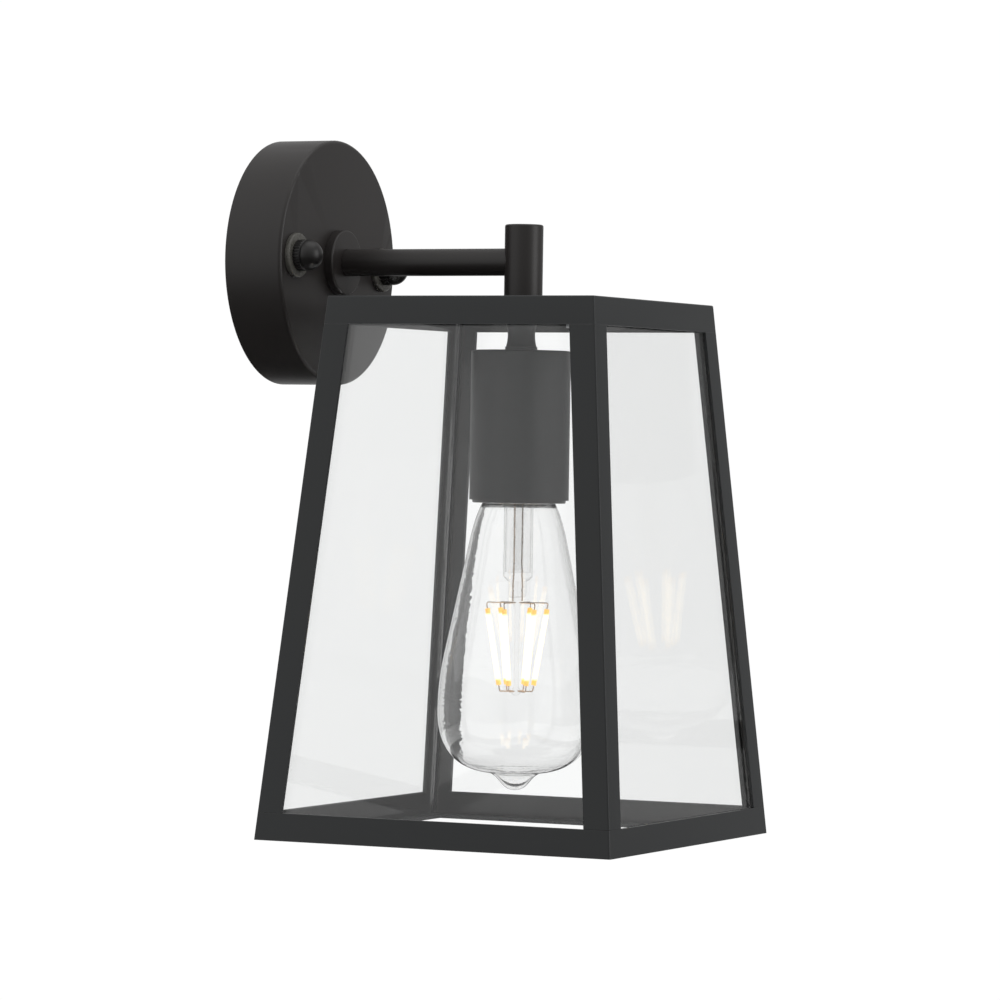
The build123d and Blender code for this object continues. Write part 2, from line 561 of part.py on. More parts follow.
E27_PITCH = 3.629
CAP_ROOT = 12.15            # bulb cap: radius between the thread ridges
CAP_CREST = 13.1
SHELL_ROOT = 13.55          # holder shell: inside radius between its ridges
SHELL_CREST = 12.6
THREAD_SHEET = 0.55
CAP_THREAD_LOW_Z = -93.0
CAP_TURNS = 4.0
SHELL_THREAD_LOW_Z = CAP_THREAD_LOW_Z + E27_PITCH / 2
SHELL_TURNS = 4.2
RIDGE_FOOT = 0.3            # the ridge is rooted this far into its sheet
RIDGE_HALF_FOOT = 0.36      # half its width at the foot, as a share of the pitch
RIDGE_WAIST_HEIGHT = 0.55   # its flank bends at this share of its height
RIDGE_WAIST = 0.62          # and at this share of the foot's width
RIDGE_TOP = 0.2             # width of its rounded top, as a share of the foot's


def thread_ridge(root, crest, z_low, turns):
    """Rolled right-hand thread ridge from the root radius to the crest radius."""
    path = Helix(pitch=E27_PITCH, height=E27_PITCH * turns, radius=root, center=(0, 0, z_low))
    rise = crest - root
    foot = -RIDGE_FOOT if rise > 0 else RIDGE_FOOT
    half_foot = RIDGE_HALF_FOOT * E27_PITCH
    outline = Polyline(
        (foot, -half_foot),
        (RIDGE_WAIST_HEIGHT * rise, -RIDGE_WAIST * half_foot),
        (rise, -RIDGE_TOP * half_foot),
        (rise, RIDGE_TOP * half_foot),
        (RIDGE_WAIST_HEIGHT * rise, RIDGE_WAIST * half_foot),
        (foot, half_foot),
        close=True,
    )
    profile = Plane(origin=path @ 0, x_dir=(1, 0, 0), z_dir=path % 0) * make_face(outline)
    return Pos(0, LANTERN_Y, 0) * sweep(profile, path=path, is_frenet=True)


SHELL_LOW_Z = -93.0
SHELL_HOLE = 6.0            # hole in the shell's end for the centre contact
shell_tube = rod_z(SHELL_ROOT + THREAD_SHEET, SHELL_LOW_Z, CORE_LOW_Z)
shell_tube -= rod_z(SHELL_ROOT, SHELL_LOW_Z - PAST, CORE_LOW_Z - THREAD_SHEET)
shell_tube -= rod_z(SHELL_HOLE, *core_cut)
screw_shell = shell_tube + thread_ridge(SHELL_ROOT, SHELL_CREST, SHELL_THREAD_LOW_Z, SHELL_TURNS)
save("screw_shell", screw_shell)

BULB_TOP_Z = -69.3
CONTACT_GAP = 0.3           # the holder's contact stands this far over the bulb's
CONTACT_DISC = 3.0
CONTACT_DISC_THICK = 0.6
CONTACT_STEM = 1.4
CONTACT_STEM_TOP_Z = -58.6
contact_low_z = BULB_TOP_Z + CONTACT_GAP
centre_contact = rod_z(CONTACT_DISC, contact_low_z, contact_low_z + CONTACT_DISC_THICK)
centre_contact += rod_z(CONTACT_STEM, contact_low_z, CONTACT_STEM_TOP_Z)
save("centre_contact", centre_contact)

CONTACT_RADIUS = 4.8
CONTACT_LOW_Z = BULB_TOP_Z - 1.6
contact_rim = (CONTACT_RADIUS, CONTACT_LOW_Z)
contact_top = (3.2, BULB_TOP_Z)
contact_line = Polyline(contact_top, (0, BULB_TOP_Z), (0, CONTACT_LOW_Z), contact_rim)
contact_round = ThreePointArc(contact_rim, (4.4, BULB_TOP_Z - 0.5), contact_top)
save("cap_contact", turned_z([*contact_line.edges(), contact_round]))

CAP_SHOULDER_Z = -75.0
CAP_LOW_Z = -95.6
CAP_BEND_Z = -94.2          # the cap flares out below this height
INSULATOR_RADIUS = 9.2
INSULATOR_TOP_RADIUS = 5.4
INSULATOR_TOP_Z = CONTACT_LOW_Z - 0.05
INSULATOR_LOW_Z = CAP_SHOULDER_Z - 0.4
insulator_outline = Polyline(
    (0, INSULATOR_TOP_Z),
    (INSULATOR_TOP_RADIUS, INSULATOR_TOP_Z),
    (INSULATOR_RADIUS, CAP_SHOULDER_Z + 1.0),
    (INSULATOR_RADIUS, INSULATOR_LOW_Z),
    (0, INSULATOR_LOW_Z),
    close=True,
)
save("cap_insulator", turned_z(insulator_outline))

cap_outline = Polyline(
    (9.25, CAP_SHOULDER_Z + 0.6),
    (9.8, CAP_SHOULDER_Z + 0.6),
    (CAP_ROOT, CAP_SHOULDER_Z - 2.0),
    (CAP_ROOT, CAP_BEND_Z),
    (12.6, CAP_LOW_Z),
    (12.1, CAP_LOW_Z),
    (CAP_ROOT - THREAD_SHEET, CAP_BEND_Z),
    (CAP_ROOT - THREAD_SHEET, CAP_SHOULDER_Z - 2.2),
    (9.25, CAP_SHOULDER_Z - 0.1),
    close=True,
)
bulb_cap = turned_z(cap_outline) + thread_ridge(CAP_ROOT, CAP_CREST, CAP_THREAD_LOW_Z, CAP_TURNS)
save("bulb_cap", bulb_cap)

# ------------------------------------------------------------ bulb envelope

BULB_WALL = 0.7
TIP_Z = -212.3
WIDEST_Z = -180.0
FLANK = (0.21, -1)          # heading of the straight flank, as (outward, down)

# Outside curve from the neck inside the cap down to the sealed-off tip.
envelope = Wire([
    Line((11.4, -88.0), (11.4, -94.4)),
    Spline((11.4, -94.4), (14.9, -97.5), tangents=((0, -1), (0.5, -1))),
    Spline((14.9, -97.5), (19.6, -112.4), tangents=((0.5, -1), FLANK)),
    Line((19.6, -112.4), (28.84, -156.4)),
    Spline((28.84, -156.4), (31.5, WIDEST_Z), tangents=(FLANK, (0, -1))),
    Spline((31.5, WIDEST_Z), (11.6, -205.2), tangents=((0, -1), (-1, -0.12))),
    Spline((11.6, -205.2), (5.8, -209.2), tangents=((-1, -0.12), (-0.8, -1))),
    Spline((5.8, -209.2), (0, TIP_Z), tangents=((-0.8, -1), (-1, 0))),
])
ENVELOPE_STEPS = 60
inner_points = []
for step in range(ENVELOPE_STEPS):
    place = envelope.position_at(step / ENVELOPE_STEPS)
    heading = envelope.tangent_at(step / ENVELOPE_STEPS)
    inner_points.append((place.X + BULB_WALL * heading.Y, place.Y - BULB_WALL * heading.X))
inner_points.append((0, TIP_Z + BULB_WALL))
inner_side = Spline(*inner_points)
rim = Line(envelope @ 0, inner_side @ 0)
tip_edge = Line(envelope @ 1, inner_side @ 1)
save("bulb_glass", turned_z([*envelope.edges(), rim, inner_side, tip_edge]))

# ------------------------------------------------------------- bulb insides

STEM_RADIUS = 5.9
STEM_WALL = 0.7
PINCH_TOP_Z = -126.0
PINCH_LOW_Z = -135.0
PINCH_WIDTH = 11.0
PINCH_THICK = 3.6
STEM_TOP_Z = -96.0
STEM_FLOOR = 1.2            # solid glass between the tube's bore and the pinch
FLARE_RADIUS = 10.4         # the stem's top flares out to meet the envelope
FLARE_TOP_Z = -90.8
EXHAUST_RADIUS = 2.1
EXHAUST_BORE = 1.5
EXHAUST_TOP_Z = -88.0
ROD_RADIUS = 1.0
stem_tube = rod_z(STEM_RADIUS, PINCH_TOP_Z, STEM_TOP_Z)
stem_tube -= rod_z(STEM_RADIUS - STEM_WALL, PINCH_TOP_Z + STEM_FLOOR, -90)
flare_outline = Polyline(
    (STEM_RADIUS - STEM_WALL, STEM_TOP_Z),
    (STEM_RADIUS, STEM_TOP_Z),
    (FLARE_RADIUS, FLARE_TOP_Z - 0.8),
    (FLARE_RADIUS, FLARE_TOP_Z),
    (FLARE_RADIUS - 0.8, FLARE_TOP_Z),
    close=True,
)
pinch_centre = Pos(0, LANTERN_Y, (PINCH_TOP_Z + PINCH_LOW_Z) / 2)
pinch = pinch_centre * Box(PINCH_WIDTH, PINCH_THICK, PINCH_TOP_Z - PINCH_LOW_Z)
pinch = fillet(pinch.edges(), 1.2)
pinch_top = rod_z(STEM_RADIUS, PINCH_TOP_Z - 2.4, PINCH_TOP_Z + 0.1)
pinch_top = chamfer(pinch_top.edges().sort_by(Axis.Z)[0], 1.8)
exhaust_tube = rod_z(EXHAUST_RADIUS, PINCH_TOP_Z, EXHAUST_TOP_Z)
exhaust_tube -= rod_z(EXHAUST_BORE, PINCH_TOP_Z + 2.0, -80)

ROD_LOW_Z = -172.6
BEAD_TOP_Z = -137.0
BEAD_RADIUS = 1.8
support_rod = rod_z(ROD_RADIUS, ROD_LOW_Z, PINCH_LOW_Z + 0.5)
for bead_z in (BEAD_TOP_Z, ROD_LOW_Z):
    support_rod += Pos(0, LANTERN_Y, bead_z) * Sphere(BEAD_RADIUS)


LEAD_RADIUS = 0.3
LEAD_BENDS = [3.0, 3.0]
LEAD_X = 3.6                # the leads run down beside the exhaust tube
LEAD_PINCH_X = 4.3          # and are spread a little wider in the pinch
LEAD_GAP = 0.02


def lead_route(side):
    """Way of one lead wire down the stem and through the pinch."""
    return [
        (side * LEAD_X, LANTERN_Y, -87.0),
        (side * LEAD_X, LANTERN_Y, -122.0),
        (side * LEAD_PINCH_X, LANTERN_Y, -130.0),
        (side * LEAD_PINCH_X, LANTERN_Y, -136.4),
    ]


leads = [wire(lead_route(side), LEAD_BENDS, LEAD_RADIUS) for side in (-1, 1)]
stem = stem_tube + turned_z(flare_outline) + pinch + pinch_top + exhaust_tube + support_rod
for side in (-1, 1):
    stem -= wire(lead_route(side), LEAD_BENDS, LEAD_RADIUS + LEAD_GAP)
save("bulb_stem", stem)
save("lead_wires", *leads)

FILAMENTS = 6
FILAMENT_RADIUS = 1.0
FILAMENT_TOP = (12.0, -139.5)
FILAMENT_LOW = (7.0, -170.0)
CARRIER_RADIUS = 0.25
CARRIER_START = 1.85

filaments = []
top_carriers = []
low_carriers = []
for number in range(FILAMENTS):
    turn = Pos(0, LANTERN_Y, 0) * Rot(0, 0, 360 / FILAMENTS * number)
    top_point = Vector(FILAMENT_TOP[0], 0, FILAMENT_TOP[1])
    low_point = Vector(FILAMENT_LOW[0], 0, FILAMENT_LOW[1])
    run = low_point - top_point
    section = Plane(origin=top_point, z_dir=run) * Circle(FILAMENT_RADIUS)
    filaments.append(turn * extrude(section, run.length))
    upper_route = [(CARRIER_START, 0, BEAD_TOP_Z), (12.5, 0, BEAD_TOP_Z), (12.0, 0, -139.42)]
    lower_route = [(CARRIER_START, 0, ROD_LOW_Z), (6.7, 0, ROD_LOW_Z), (7.0, 0, -170.12)]
    upper = wire(upper_route, [0.8], CARRIER_RADIUS)
    lower = wire(lower_route, [0.8], CARRIER_RADIUS)
    top_carriers.append(turn * upper)
    low_carriers.append(turn * lower)
save("led_filaments", *filaments)
save("filament_carriers", *top_carriers, *low_carriers)

BOARD_RADIUS = 8.6
BOARD_LOW_Z = -84.6
BOARD_TOP_Z = -83.0
PARTS_LOW_Z = -82.9         # the parts stand just clear of the board on their legs
driver_disc = rod_z(BOARD_RADIUS, BOARD_LOW_Z, BOARD_TOP_Z)
capacitor = rod_z(3.2, PARTS_LOW_Z, -76.2, x=-4.2)
choke = block(1.5, 6.5, LANTERN_Y - 3.5, LANTERN_Y + 3.5, PARTS_LOW_Z, -77.5)
save("driver_board", driver_disc, capacitor, choke)

# ------------------------------------------ terminal block and inner wiring

BLOCK_Z = 14.0
BLOCK_TOP_Z = 27.0
BLOCK_FRONT_Y = -14.0
ENTRY_Y = -8.0
POLE_X = 6.5
BLOCK_HALF = 10.5
BLOCK_EDGE = 1.2
BLOCK_WIRE_HOLE = 1.3
BLOCK_WIRE_DEPTH = 5.0
BLOCK_SCREW_Z = 20.5
BLOCK_SCREW_HOLE = 2.0
BLOCK_SCREW = 1.95
BLOCK_SCREW_BACK_Y = -10.4
BLOCK_SCREW_FRONT_Y = -12.6
BLOCK_SLOT_FLOOR_Y = -11.8
BLOCK_SLOT_HALF = 0.35
terminal_block = block(-BLOCK_HALF, BLOCK_HALF, BLOCK_FRONT_Y, -STRAP_SHEET, BLOCK_Z, BLOCK_TOP_Z)
terminal_block = fillet(terminal_block.edges().filter_by(Axis.Y), BLOCK_EDGE)
low_hole = (BLOCK_Z - PAST, BLOCK_Z + BLOCK_WIRE_DEPTH)
high_hole = (BLOCK_TOP_Z - BLOCK_WIRE_DEPTH, BLOCK_TOP_Z + PAST)
block_screws = []
for pole in (-1, 0, 1):
    x = pole * POLE_X
    terminal_block -= rod_z(BLOCK_WIRE_HOLE, *low_hole, x=x, y=ENTRY_Y)
    terminal_block -= rod_z(BLOCK_WIRE_HOLE, *high_hole, x=x, y=ENTRY_Y)
    terminal_block -= rod_y(BLOCK_SCREW_HOLE, BLOCK_SCREW_BACK_Y, BLOCK_FRONT_Y - PAST, x=x, z=BLOCK_SCREW_Z)
    screw = rod_y(BLOCK_SCREW, BLOCK_SCREW_BACK_Y, BLOCK_SCREW_FRONT_Y, x=x, z=BLOCK_SCREW_Z)
    slot_sides = (x - BLOCK_SLOT_HALF, x + BLOCK_SLOT_HALF)
    slot_span_y = (BLOCK_SCREW_FRONT_Y - PAST, BLOCK_SLOT_FLOOR_Y)
    block_screws.append(screw - block(*slot_sides, *slot_span_y, BLOCK_Z, BLOCK_TOP_Z))
save("terminal_block", terminal_block)
save("clamp_screws", *terminal_screws, *block_screws)

WIRE_RADIUS = 1.0
WIRE_X = 1.35
for side, pole_x, name in ((-1, -POLE_X, "live_wire"), (1, 0.0, "neutral_wire")):
    route = [
        (pole_x, ENTRY_Y, BLOCK_Z + 4),
        (pole_x, ENTRY_Y, 7.0),
        (side * WIRE_X, -14.5, 0),
        (side * WIRE_X, LANTERN_Y, 0),
        (side * WIRE_X, LANTERN_Y, -49.0),
        (side * TERMINAL_X, LANTERN_Y, -53.2),
        (side * TERMINAL_X, LANTERN_Y, TERMINAL_TOP_Z - 2.9),
    ]
    save(name, wire(route, [3.0, 3.0, 2.6, 2.0, 1.4], WIRE_RADIUS))

earth_route = [
    (POLE_X, ENTRY_Y, BLOCK_Z + 4),
    (POLE_X, ENTRY_Y, -3.0),
    (0, LUG_Y - 1.6, -7.0),
    (0, LUG_Y - 1.6, LUG_BARREL_Z + 0.4),
]
save("earth_wire", wire(earth_route, [3.0, 1.5], WIRE_RADIUS))
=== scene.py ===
import bpy
import math
from mathutils import Matrix, Vector


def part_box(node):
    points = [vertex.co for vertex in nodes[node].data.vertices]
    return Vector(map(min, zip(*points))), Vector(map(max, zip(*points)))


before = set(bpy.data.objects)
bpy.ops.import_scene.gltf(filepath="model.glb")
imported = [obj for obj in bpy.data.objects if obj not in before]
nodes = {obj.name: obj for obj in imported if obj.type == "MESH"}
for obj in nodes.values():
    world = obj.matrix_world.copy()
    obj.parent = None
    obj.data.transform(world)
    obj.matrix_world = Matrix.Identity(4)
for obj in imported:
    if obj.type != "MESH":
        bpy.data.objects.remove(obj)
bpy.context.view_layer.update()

# --- Wall bracket -----------------------------------------------------------
# A cross-shaped strap punched and folded from 2 mm steel, zinc plated.
# It is screwed flat to the wall and carries everything else on two studs.


def place(tree, kind, inputs=None, **settings):
    """Adds one node to a tree; an input given as a socket is linked, anything else is its value."""
    made = tree.nodes.new(kind)
    for name, value in settings.items():
        setattr(made, name, value)
    for name, value in (inputs or {}).items():
        if isinstance(value, bpy.types.NodeSocket):
            tree.links.new(value, made.inputs[name])
        else:
            made.inputs[name].default_value = value
    return made


def blend_colour(tree, factor, first, second, mode="MIX"):
    """Mixes two colours by a mask and returns the colour socket."""
    mix = tree.nodes.new("ShaderNodeMix")
    mix.data_type = "RGBA"
    mix.blend_type = mode
    for index, value in ((0, factor), (6, first), (7, second)):
        if isinstance(value, bpy.types.NodeSocket):
            tree.links.new(value, mix.inputs[index])
        else:
            mix.inputs[index].default_value = value
    return mix.outputs[2]


def calculate(tree, operation, *values):
    """One Math node; returns its value socket."""
    made = tree.nodes.new("ShaderNodeMath")
    made.operation = operation
    for index, value in enumerate(values):
        if isinstance(value, bpy.types.NodeSocket):
            tree.links.new(value, made.inputs[index])
        else:
            made.inputs[index].default_value = value
    return made.outputs[0]


def rescale(tree, value, low, high, to_low=0.0, to_high=1.0):
    """Stretches a value from one span to another and clamps it; returns the socket."""
    made = place(tree, "ShaderNodeMapRange", {"Value": value, "From Min": low, "From Max": high})
    made.inputs["To Min"].default_value = to_low
    made.inputs["To Max"].default_value = to_high
    return made.outputs["Result"]


def new_group(name, sockets_in, sockets_out):
    """An empty shader group; sockets_in maps names to default values."""
    tree = bpy.data.node_groups.new(name, "ShaderNodeTree")
    for socket_name, value in sockets_in.items():
        socket = tree.interface.new_socket(socket_name, in_out="INPUT", socket_type="NodeSocketFloat")
        socket.default_value = value
    for socket_name in sockets_out:
        tree.interface.new_socket(socket_name, in_out="OUTPUT", socket_type="NodeSocketFloat")
    return tree, tree.nodes.new("NodeGroupInput"), tree.nodes.new("NodeGroupOutput")


def use_group(tree, group, **values):
    """Places a group in a material; value names use _ for a space."""
    made = tree.nodes.new("ShaderNodeGroup")
    made.node_tree = group
    for name, value in values.items():
        socket = made.inputs[name.replace("_", " ")]
        if isinstance(value, bpy.types.NodeSocket):
            tree.links.new(value, socket)
        else:
            socket.default_value = value
    return made.outputs


# Fine grain, slow patches and lighter edges, all in real sizes; the edge mask is partly wear and partly a
# painted highlight where a rounded edge would catch the light.
surface, given, result = new_group(
    "surface_detail",
    {"Grain Size": 0.0005, "Patch Size": 0.04, "Edge Width": 0.0005},
    ("Grain", "Patch", "Edge"),
)
where = place(surface, "ShaderNodeTexCoord").outputs["Object"]
grain_scale = calculate(surface, "DIVIDE", 1.0, given.outputs["Grain Size"])
patch_scale = calculate(surface, "DIVIDE", 1.0, given.outputs["Patch Size"])
grain = place(surface, "ShaderNodeTexNoise", {"Vector": where, "Scale": grain_scale, "Detail": 2.0})
patch = place(surface, "ShaderNodeTexNoise", {"Vector": where, "Scale": patch_scale, "Detail": 5.0})
rounded = place(surface, "ShaderNodeBevel", {"Radius": given.outputs["Edge Width"]}, samples=6)
flat = place(surface, "ShaderNodeNewGeometry")
both_normals = {0: rounded.outputs[0], 1: flat.outputs["Normal"]}
turned = place(surface, "ShaderNodeVectorMath", both_normals, operation="DOT_PRODUCT")
# Mask of rounded edges from the Bevel normal: it lightens them, partly as wear and partly as a painted
# highlight.
edge = rescale(surface, turned.outputs["Value"], 0.99, 0.80)
edge_patchiness = rescale(surface, patch.outputs["Fac"], 0.3, 0.6, 0.35, 1.0)
patchy_edge_wear_and_highlight = calculate(surface, "MULTIPLY", edge, edge_patchiness)
surface.links.new(grain.outputs["Fac"], result.inputs["Grain"])
surface.links.new(patch.outputs["Fac"], result.inputs["Patch"])
surface.links.new(patchy_edge_wear_and_highlight, result.inputs["Edge"])


def start_material(name, metallic=0.0, ior=1.5):
    """A material holding one Principled shader; returns the material, its tree and the shader."""
    made = bpy.data.materials.new(name)
    made.use_nodes = True
    tree = made.node_tree
    shader = tree.nodes["Principled BSDF"]
    shader.inputs["Metallic"].default_value = metallic
    shader.inputs["IOR"].default_value = ior
    return made, tree, shader


def finish(name, colour, rough, grain_size, grain_depth, metallic=0.0, patch_size=0.04, shade=0.12,
           edge_wear_and_highlight_colour=None, edge_width=0.0005, edge_share=0.6, rough_spread=0.12, extra_height=None):
    """A solid finish: patches vary its tone and gloss, grain gives it texture, edges are painted lighter,
    partly as wear and partly as a painted highlight.
    """
    made, tree, shader = start_material(name, metallic)
    detail = use_group(tree, surface, Grain_Size=grain_size, Patch_Size=patch_size, Edge_Width=edge_width)
    darker = tuple(channel * (1 - shade) for channel in colour) + (1,)
    lighter = tuple(min(1, channel * (1 + shade)) for channel in colour) + (1,)
    tone = blend_colour(tree, rescale(tree, detail["Patch"], 0.35, 0.65), darker, lighter)
    # Edges painted lighter: part wear, part painted highlight.
    if edge_wear_and_highlight_colour:
        worn_and_highlit_edge = calculate(tree, "MULTIPLY", detail["Edge"], edge_share)
        tone = blend_colour(tree, worn_and_highlit_edge, tone, tuple(edge_wear_and_highlight_colour) + (1,))
    tree.links.new(tone, shader.inputs["Base Color"])
    gloss = rescale(tree, detail["Patch"], 0.3, 0.7, rough - rough_spread / 2, rough + rough_spread / 2)
    tree.links.new(gloss, shader.inputs["Roughness"])
    height = calculate(tree, "MULTIPLY", detail["Grain"], grain_depth)
    if extra_height:
        height = calculate(tree, "ADD", height, extra_height(tree))
    bump = place(tree, "ShaderNodeBump", {"Height": height, "Strength": 1.0, "Distance": 1.0})
    tree.links.new(bump.outputs["Normal"], shader.inputs["Normal"])
    return made


WELD_GAP = 0.000002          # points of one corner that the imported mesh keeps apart
SHARP_EDGE = math.radians(32)


def dress(name, material, bevel=0.0):
    """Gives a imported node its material, and rounds its sharp edges where bevel is a width."""
    piece = nodes[name]
    piece.data.materials.clear()
    piece.data.materials.append(material)
    if bevel:
        custom = piece.data.attributes.get("custom_normal")
        if custom:
            piece.data.attributes.remove(custom)
        piece.data.shade_smooth()
        weld = piece.modifiers.new("weld", "WELD")
        weld.merge_threshold = WELD_GAP
        round_edges = piece.modifiers.new("round_edges", "BEVEL")
        round_edges.width = bevel
        round_edges.segments = 2
        round_edges.limit_method = "ANGLE"
        round_edges.angle_limit = SHARP_EDGE
        round_edges.harden_normals = True
    return piece


zinc = finish(
    "zinc_plate", (0.55, 0.56, 0.58), rough=0.34, grain_size=0.0007, grain_depth=0.000012, metallic=1.0,
    patch_size=0.012, shade=0.10, edge_wear_and_highlight_colour=(0.75, 0.76, 0.78), edge_width=0.0004,
)
dress("wall_bracket", zinc, bevel=0.00015)

# --- Studs, nuts and earth connection ---------------------------------------
# Two M4 studs stand out of the bracket and are locked by plain hexagon nuts.
# A slotted screw on the lower tab clamps the crimped lug of the earth wire.

threads, given, result = new_group(
    "thread_lines",
    {"Along": 0.0, "Pitch": 0.0007, "Start": 0.0, "End": 0.0, "Depth": 0.00012},
    ("Height",),
)
turns = calculate(threads, "DIVIDE", given.outputs["Along"], given.outputs["Pitch"])
wave = calculate(threads, "SINE", calculate(threads, "MULTIPLY", turns, 2 * math.pi))
after_start = calculate(threads, "GREATER_THAN", given.outputs["Along"], given.outputs["Start"])
before_end = calculate(threads, "LESS_THAN", given.outputs["Along"], given.outputs["End"])
inside = calculate(threads, "MULTIPLY", after_start, before_end)
ridge = calculate(threads, "MULTIPLY", calculate(threads, "MULTIPLY", wave, inside), given.outputs["Depth"])
threads.links.new(ridge, result.inputs["Height"])


def thread_height(axis, pitch, start, end, depth):
    """Height socket maker for a screw thread that runs along X, Y or Z between two places."""
    def make(tree):
        spot = place(tree, "ShaderNodeTexCoord").outputs["Object"]
        along = place(tree, "ShaderNodeSeparateXYZ", {0: spot}).outputs[axis]
        return use_group(tree, threads, Along=along, Pitch=pitch, Start=start, End=end, Depth=depth)["Height"]
    return make


M4_PITCH = 0.0007
M8_PITCH = 0.001
stud_low, stud_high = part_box("mounting_studs")
stud_steel = finish(
    "stud_steel", (0.58, 0.57, 0.53), rough=0.3, grain_size=0.0004, grain_depth=0.00001, metallic=1.0,
    patch_size=0.006, extra_height=thread_height("Y", M4_PITCH, stud_low.y, stud_high.y - 0.003, 0.0001),
)
dress("mounting_studs", stud_steel)
for name in ("stud_nuts", "earth_screw", "earth_lug"):
    dress(name, zinc, bevel=0.0001)

# --- Terminal block and wires -----------------------------------------------
# A white nylon three-way block with brass clamp screws joins the supply to
# PVC insulated wires: brown live, blue neutral and green-yellow earth.

nylon = finish("white_nylon", (0.80, 0.79, 0.74), rough=0.45, grain_size=0.0006, grain_depth=0.00002,
               shade=0.05, patch_size=0.01, edge_wear_and_highlight_colour=(0.9, 0.9, 0.87), edge_width=0.0003)
dress("terminal_block", nylon, bevel=0.0002)
brass = finish("brass", (0.72, 0.53, 0.25), rough=0.3, grain_size=0.0003, grain_depth=0.000008, metallic=1.0,
               patch_size=0.008, shade=0.15, edge_wear_and_highlight_colour=(0.9, 0.75, 0.45), edge_width=0.0003)
dress("clamp_screws", brass, bevel=0.00008)


def insulation(name, colour):
    """Soft PVC: smooth, slightly waxy, with faint draw marks."""
    return finish(name, colour, rough=0.38, grain_size=0.0009, grain_depth=0.00001, shade=0.08,
                  patch_size=0.006)


dress("live_wire", insulation("brown_pvc", (0.16, 0.07, 0.035)))
dress("neutral_wire", insulation("blue_pvc", (0.03, 0.12, 0.42)))

# The earth wire's two colours run along it side by side.
earth_pvc, tree, shader = start_material("green_yellow_pvc")
detail = use_group(tree, surface, Grain_Size=0.0009, Patch_Size=0.006, Edge_Width=0.0002)
facing = place(tree, "ShaderNodeNewGeometry").outputs["Normal"]
sideways = place(tree, "ShaderNodeSeparateXYZ", {0: facing}).outputs["X"]
stripe = rescale(tree, sideways, -0.05, 0.05)
green_yellow = blend_colour(tree, stripe, (0.05, 0.32, 0.06, 1), (0.75, 0.62, 0.04, 1))
tree.links.new(green_yellow, shader.inputs["Base Color"])
tree.links.new(rescale(tree, detail["Patch"], 0.3, 0.7, 0.32, 0.44), shader.inputs["Roughness"])
dress("earth_wire", earth_pvc)

# --- Canopy -----------------------------------------------------------------
# A shallow round cup spun from 1 mm steel. It is powder coated a warm black,
# satin, with the very fine orange-peel that sprayed powder leaves.

POWDER_GRAIN = 0.0007
POWDER_DEPTH = 0.0000022


def powder_coat(name, colour, rough):
    """Satin black powder coat over steel, a little lighter along its edges: part rubbed wear, part painted
    highlight.
    """
    return finish(
        name, colour, rough=rough, grain_size=POWDER_GRAIN, grain_depth=POWDER_DEPTH,
        patch_size=0.05, shade=0.10,
        edge_wear_and_highlight_colour=(0.10, 0.10, 0.10), edge_width=0.0006, edge_share=0.5, rough_spread=0.06,
    )


warm_black = powder_coat("warm_black_powder", (0.021, 0.018, 0.017), rough=0.38)
dress("canopy", warm_black, bevel=0.0002)

# --- Arm --------------------------------------------------------------------
# A straight round tube seated in a turned flange. A hollow M8 nipple inside it
# is drawn up behind the canopy by a washer and a nut.

dress("arm_flange", warm_black, bevel=0.0002)
dress("arm_tube", warm_black, bevel=0.0001)
arm_low, arm_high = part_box("arm_nipple")
nipple_steel = finish(
    "arm_nipple_steel", (0.58, 0.57, 0.53), rough=0.32, grain_size=0.0004, grain_depth=0.00001, metallic=1.0,
    patch_size=0.006, extra_height=thread_height("Y", M8_PITCH, arm_low.y, arm_high.y, 0.00014),
)
dress("arm_nipple", nipple_steel)
for name in ("arm_lock_washer", "arm_lock_nut"):
    dress(name, zinc, bevel=0.00012)

# --- Knob nuts and sealing washers ------------------------------------------
# Domed black knob nuts with a ribbed collar close the canopy onto the studs.
# Each presses on a translucent grey plastic washer that keeps rain out.

knob_black = finish("knob_black", (0.010, 0.009, 0.0085), rough=0.36, grain_size=0.0006,
                    grain_depth=0.000003, patch_size=0.006, shade=0.2, edge_wear_and_highlight_colour=(0.05, 0.05, 0.05),
                    edge_width=0.0003, edge_share=0.4)
washer_grey, tree, shader = start_material("washer_grey", ior=1.46)
detail = use_group(tree, surface, Grain_Size=0.0008, Patch_Size=0.006, Edge_Width=0.0004)
cloudy = rescale(tree, detail["Patch"], 0.35, 0.65)
greys = blend_colour(tree, cloudy, (0.13, 0.125, 0.11, 1), (0.18, 0.175, 0.155, 1))
tree.links.new(greys, shader.inputs["Base Color"])
tree.links.new(rescale(tree, detail["Patch"], 0.3, 0.7, 0.22, 0.36), shader.inputs["Roughness"])
shader.inputs["Transmission Weight"].default_value = 0.35
for side in ("left", "right"):
    dress("sealing_washer_" + side, washer_grey, bevel=0.0002)
    dress("knob_nut_" + side, knob_black, bevel=0.00012)

# --- Post and neck ----------------------------------------------------------
# The upright post is turned bar with a blind bore. A hollow M8 nipple joins
# it through the top pan and the waisted neck collar to the lampholder.

cool_black = powder_coat("cool_black_powder", (0.0155, 0.0175, 0.0185), rough=0.40)
dress("post", warm_black, bevel=0.00015)
dress("neck_collar", cool_black, bevel=0.00015)
post_low, post_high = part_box("post_nipple")
holder_nipple_steel = finish(
    "holder_nipple_steel", (0.58, 0.57, 0.53), rough=0.32, grain_size=0.0004, grain_depth=0.00001,
    metallic=1.0, patch_size=0.006,
    extra_height=thread_height("Z", M8_PITCH, post_low.z, post_high.z, 0.00014),
)
dress("post_nipple", holder_nipple_steel)
dress("holder_lock_nut", zinc, bevel=0.00012)

